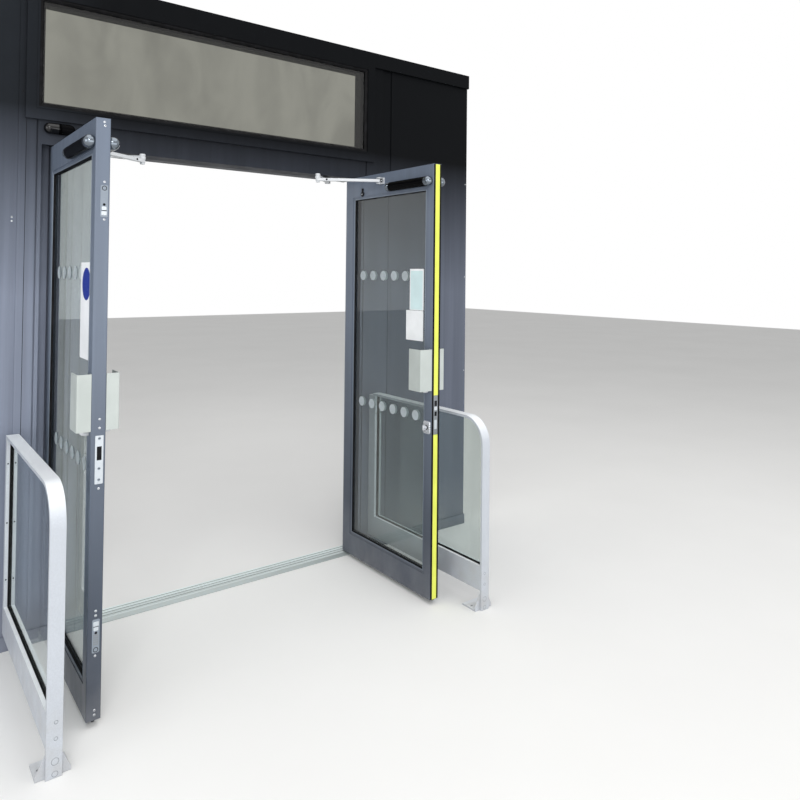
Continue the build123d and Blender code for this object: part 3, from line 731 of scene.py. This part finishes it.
def arms(name):
    """Cap on the elbow bolt, screws and a bore in the second arm, and the recess in the shoe; the bore and
    the recess are flat dark patches of painted shade.
    """
    arm_top, fore_half_width, shoe_out = 2109.0, 12, 22
    screw_reach, bore_reach = (36, 72, 110), 47
    side = SIDES[name]
    fore_low, fore_high = extent(f"forearm_{name}")
    shoe_low, shoe_high = extent(f"arm_shoe_{name}")
    joint = next(j for j in frame["record"]["behaviour"]["joints"] if j["name"] == f"forearm_turn_{name}")
    elbow = Vector(joint["pos_m"]) / MM
    bm = bmesh.new()
    patch = Patch((elbow.x, elbow.y, arm_top), X, Y, Z)
    raise_form(bm, patch, disc(12.8, (0, 0), 32), ((0.1, 0), (6.5, 0), (8.2, 0.8), (9.0, 2.4), (9.3, 5)))
    piece(f"elbow_cap_{name}", bm, f"operator_arm_{name}", ["arm_white"], 40)
    shoe = Vector((side * (LEAF[name]["inner"] - shoe_out), (shoe_low.y + shoe_high.y) / 2, fore_high.z))
    along = Vector((shoe.x - elbow.x, shoe.y - elbow.y, 0)).normalized()
    top = Patch((elbow.x, elbow.y, fore_high.z), along, Z.cross(along), Z)
    bm = bmesh.new()
    for reach in screw_reach:
        screw(bm, top, reach, 0, 5.2)
    across = Z.cross(along) * -side
    flank_middle = Vector((elbow.x, elbow.y, (fore_low.z + fore_high.z) / 2)) + across * fore_half_width
    flank = Patch(flank_middle, along, Z, across)
    raise_form(bm, flank, disc(5.2, (bore_reach, 0)), ((-0.3, 0), (0.4, 0)), 1)
    piece(f"arm_screws_{name}", bm, f"forearm_{name}", ["arm_white", "socket_black"], 30)
    bm = bmesh.new()
    front = Patch((shoe.x, shoe_low.y, 0), X, Z, -Y)
    recess, pin = panel((-7, 2080), (7, 2094), 1.5, 3), panel((-3, 2084), (3, 2090), 1, 3)
    raise_form(bm, front, recess, ((-0.3, 0), (0.4, 0)), 1)
    raise_form(bm, front, pin, ((0.3, 0), (1.2, 0.3)))
    piece(f"shoe_recess_{name}", bm, f"leaf_{name}", ["arm_white", "socket_black"], 30)


def housing_caps():
    """End caps with their screws, and the joint between the two operators' covers, on the inside."""
    low, high = extent("operator_housing")
    cap = panel((low.y + 1, low.z - 1), (high.y - 0.5, high.z + 1), 13, 6)
    cap_front, screw_inset = 2.8, 22
    bm = bmesh.new()
    for x, out in ((low.x, -X), (high.x, X)):
        patch = Patch((x, 0, 0), Y, Z, out)
        raise_form(bm, patch, cap, ((-14, 0), (1.5, 0), (3, 1.2)))
        for z in (low.z + screw_inset, high.z - screw_inset):
            screw(bm, patch.raised(cap_front), (low.y + high.y) / 2, z, 3.5)
    piece("housing_end_caps", bm, "doorset", ["housing_paint", "socket_black"])
    bm = bmesh.new()
    patch = Patch((0, high.y, 0), X, Z, Y)
    raise_form(bm, patch, panel((-1.2, low.z + 14), (1.2, high.z - 14), 1, 2), ((-0.5, 0), (0.15, 0)))
    piece("housing_joint", bm, "doorset", ["gasket_black"])


# Doorset details

def facade_details():
    """Screws of the panels, a bore and a seam in the left jamb's cover, inner gasket of the transom light."""
    skirting_depth = 12
    panel_front = extent("cladding_left")[0].y + skirting_depth
    panel_fixings = ((-948, 1814), (-948, 1797), (1640, 2177), (1640, 1578), (1640, 978))
    bm = bmesh.new()
    for x, z in panel_fixings:
        screw(bm, Patch((0, panel_front, 0), X, Z, -Y), x, z, 4)
    piece("panel_screws", bm, "doorset", ["steel", "socket_black"])
    bm = bmesh.new()
    # Painted shade: the bore is a flat dark patch
    bore, seam = disc(4, (-914, 2353)), panel((-901, 2), (-899, 2239), 0.8, 2)
    for outline in (bore, seam):
        raise_form(bm, Patch((0, 0, 0), X, Z, -Y), outline, ((-0.3, 0), (0.2, 0)))
    piece("cover_seam_left", bm, "doorset", ["gasket_black"])
    low, high = extent("transom_glass")
    bm = bmesh.new()
    gasket = ((0.2, 0.1), (0.2, 9), (4, 9), (9, 4), (10, 0.1))
    rim(bm, Patch((0, high.y, 0), X, Z, Y), (low.x, low.z), (high.x, high.z), gasket)
    piece("transom_back_gasket", bm, "doorset", ["gasket_black"])


# Guard barriers

def barrier(name):
    """Black glazing strips in the channels and over their lips, lip screws, fixings in the bar's front with a
    ring of painted shade round each.
    """
    side = SIDES[name]
    pane_low, pane_high = extent(f"barrier_glass_{name}")
    post_low, post_high = extent(f"barrier_upright_{name}")
    kick_top = extent(f"barrier_kick_{name}")[1].z
    hoop_front = extent(f"barrier_hoop_{name}")[0].y
    middle = (post_low.x + post_high.x) / 2
    half = (pane_high.x - pane_low.x) / 2
    bar_thickness, slot_half, lip_half = 12, 8, 10.8
    lip_screw_heights, lip_screw_shift = (792, 550, 318), 17.5
    bar_back = hoop_front + bar_thickness
    post = Patch((middle, post_low.y, 0), X, Z, -Y)
    kick = Patch((middle, 0, kick_top), X, Y, Z)
    bm = bmesh.new()
    for sign in (-1, 1):
        for outer, deep, crown in ((slot_half, -13, 0.6), (lip_half, 0.1, 1.6)):
            near, far = sorted((sign * (half + 0.1), sign * (outer - 0.1)))
            levels = ((deep, 0), (crown, 0), (crown + 0.8, 0.8))
            raise_form(bm, post, panel((near, kick_top + 1.8), (far, post_high.z - 0.3), 1, 2), levels)
            raise_form(bm, kick, panel((near, bar_back + 0.3), (far, post_low.y - 2.6), 1, 2), levels)
    piece(f"barrier_gaskets_{name}", bm, "doorset", ["gasket_black"])
    bm = bmesh.new()
    for z in lip_screw_heights:
        for shift in (-lip_screw_shift, lip_screw_shift):
            screw(bm, post, shift, z, 3)
    piece(f"lip_screws_{name}", bm, "doorset", ["socket_black", "gasket_black"])
    bar = Patch((middle, hoop_front, 0), X, Z, -Y)
    fixings = ((4, 173, 4.6), (4, 122, 4.6), (3, 51.5, 10), (3, 13, 8))
    bm = bmesh.new()
    for shift, z, radius in fixings:
        centre = (shift * -side, z)
        raise_form(bm, bar, disc(radius, centre, 32), ((-0.3, 0), (0.1, 0), (0.25, 0.5)))
        # Painted shade: a dark ring round each fixing for the shadow in its seam
        ring(bm, bar, centre, radius + 0.1, radius + 1.7, -0.3, 0.25, 1)
    piece(f"bar_fixings_{name}", bm, "doorset", ["barrier_metal", "lock_grey"], 30)


# Stage

def camera():
    ahead = Vector((math.sin(YAW), math.cos(YAW), 0))
    right = Vector((math.cos(YAW), -math.sin(YAW), 0))
    look = ahead * math.cos(PITCH) + Z * math.sin(PITCH)
    top = Z * math.cos(PITCH) - ahead * math.sin(PITCH)
    side = right * math.cos(ROLL) + top * math.sin(ROLL)
    crown = top * math.cos(ROLL) - right * math.sin(ROLL)
    data = bpy.data.cameras.new("camera")
    data.sensor_width = SENSOR_WIDTH
    data.lens = LENS
    data.shift_y = SHIFT_Y
    data.clip_end = 100
    cam = bpy.data.objects.new("camera", data)
    turn = Matrix((side, crown, -look)).transposed()
    cam.matrix_world = Matrix.Translation(EYE) @ turn.to_4x4()
    bpy.context.scene.collection.objects.link(cam)
    bpy.context.scene.camera = cam


def area_light(name, at, target, size, energy, colour):
    data = bpy.data.lights.new(name, "AREA")
    data.shape = "RECTANGLE"
    data.size, data.size_y = size
    data.energy = energy
    data.color = colour
    lamp = bpy.data.objects.new(name, data)
    lamp.location = at
    lamp.rotation_euler = (Vector(target) - Vector(at)).to_track_quat("-Z", "Y").to_euler()
    bpy.context.scene.collection.objects.link(lamp)


def stage():
    """Pale floor just under the ground plane, white world, soft lamps."""
    floor_colour, floor_patches = (0.86, 0.86, 0.85), (0.89, 0.89, 0.88)
    floor_reach, floor_drop = 22, 0.0005
    bm = bmesh.new()
    bmesh.ops.create_grid(bm, x_segments=8, y_segments=8, size=floor_reach)
    mesh = bpy.data.meshes.new("floor")
    bm.to_mesh(mesh)
    bm.free()
    floor = bpy.data.objects.new("floor", mesh)
    floor.location.z = -floor_drop
    bpy.context.scene.collection.objects.link(floor)
    f = Finish("floor", floor_colour, 0.9)
    f.link(f.blend(f.span(f.noise(0.8, 4), 0.3, 0.7), floor_colour, floor_patches), "Base Color")
    mesh.materials.append(f.material)

    # The world is weaker as a light than where it is seen, mirrored or looked through
    as_light, as_seen = 0.5, 1.0
    world = bpy.data.worlds.new("world")
    bpy.context.scene.world = world
    world.use_nodes = True
    tree = world.node_tree
    back = tree.nodes["Background"]
    path = tree.nodes.new("ShaderNodeLightPath")
    total = path.outputs["Is Camera Ray"]
    for ray in ("Is Glossy Ray", "Is Transmission Ray"):
        add = tree.nodes.new("ShaderNodeMath")
        add.operation = "ADD"
        add.use_clamp = True
        tree.links.new(total, add.inputs[0])
        tree.links.new(path.outputs[ray], add.inputs[1])
        total = add.outputs[0]
    level = tree.nodes.new("ShaderNodeMapRange")
    level.inputs["To Min"].default_value = as_light
    level.inputs["To Max"].default_value = as_seen
    tree.links.new(total, level.inputs["Value"])
    tree.links.new(level.outputs["Result"], back.inputs["Strength"])
    back.inputs["Color"].default_value = (1, 1, 1, 1)

    area_light("front", (0.5, -6.4, 1.35), (0.5, 0, 1.35), (12, 2.6), 198, (0.975, 0.985, 1.0))
    area_light("sky", (-3.2, -6.2, 4.6), (-0.2, 0, 1.6), (2.4, 0.5), 130, (1.0, 0.99, 0.98))
    area_light("left", (-7.5, -3.0, 2.2), (0, -0.6, 1.1), (5, 4), 140, (0.98, 0.99, 1.0))
    area_light("overhead", (0.0, -2.2, 6.5), (0.0, -2.2, 0), (7, 7), 190, (1.0, 0.99, 0.98))


sensors()
for leaf_name in SIDES:
    glazing(leaf_name)
    bottom_seal(leaf_name)
    handles(leaf_name)
    dots(leaf_name)
    arms(leaf_name)
    barrier(leaf_name)
edge_gaskets()
left_edge()
right_lock()
signs()
rail_clip()
housing_caps()
facade_details()

camera()
stage()
bpy.context.scene.view_settings.view_transform = "Standard"
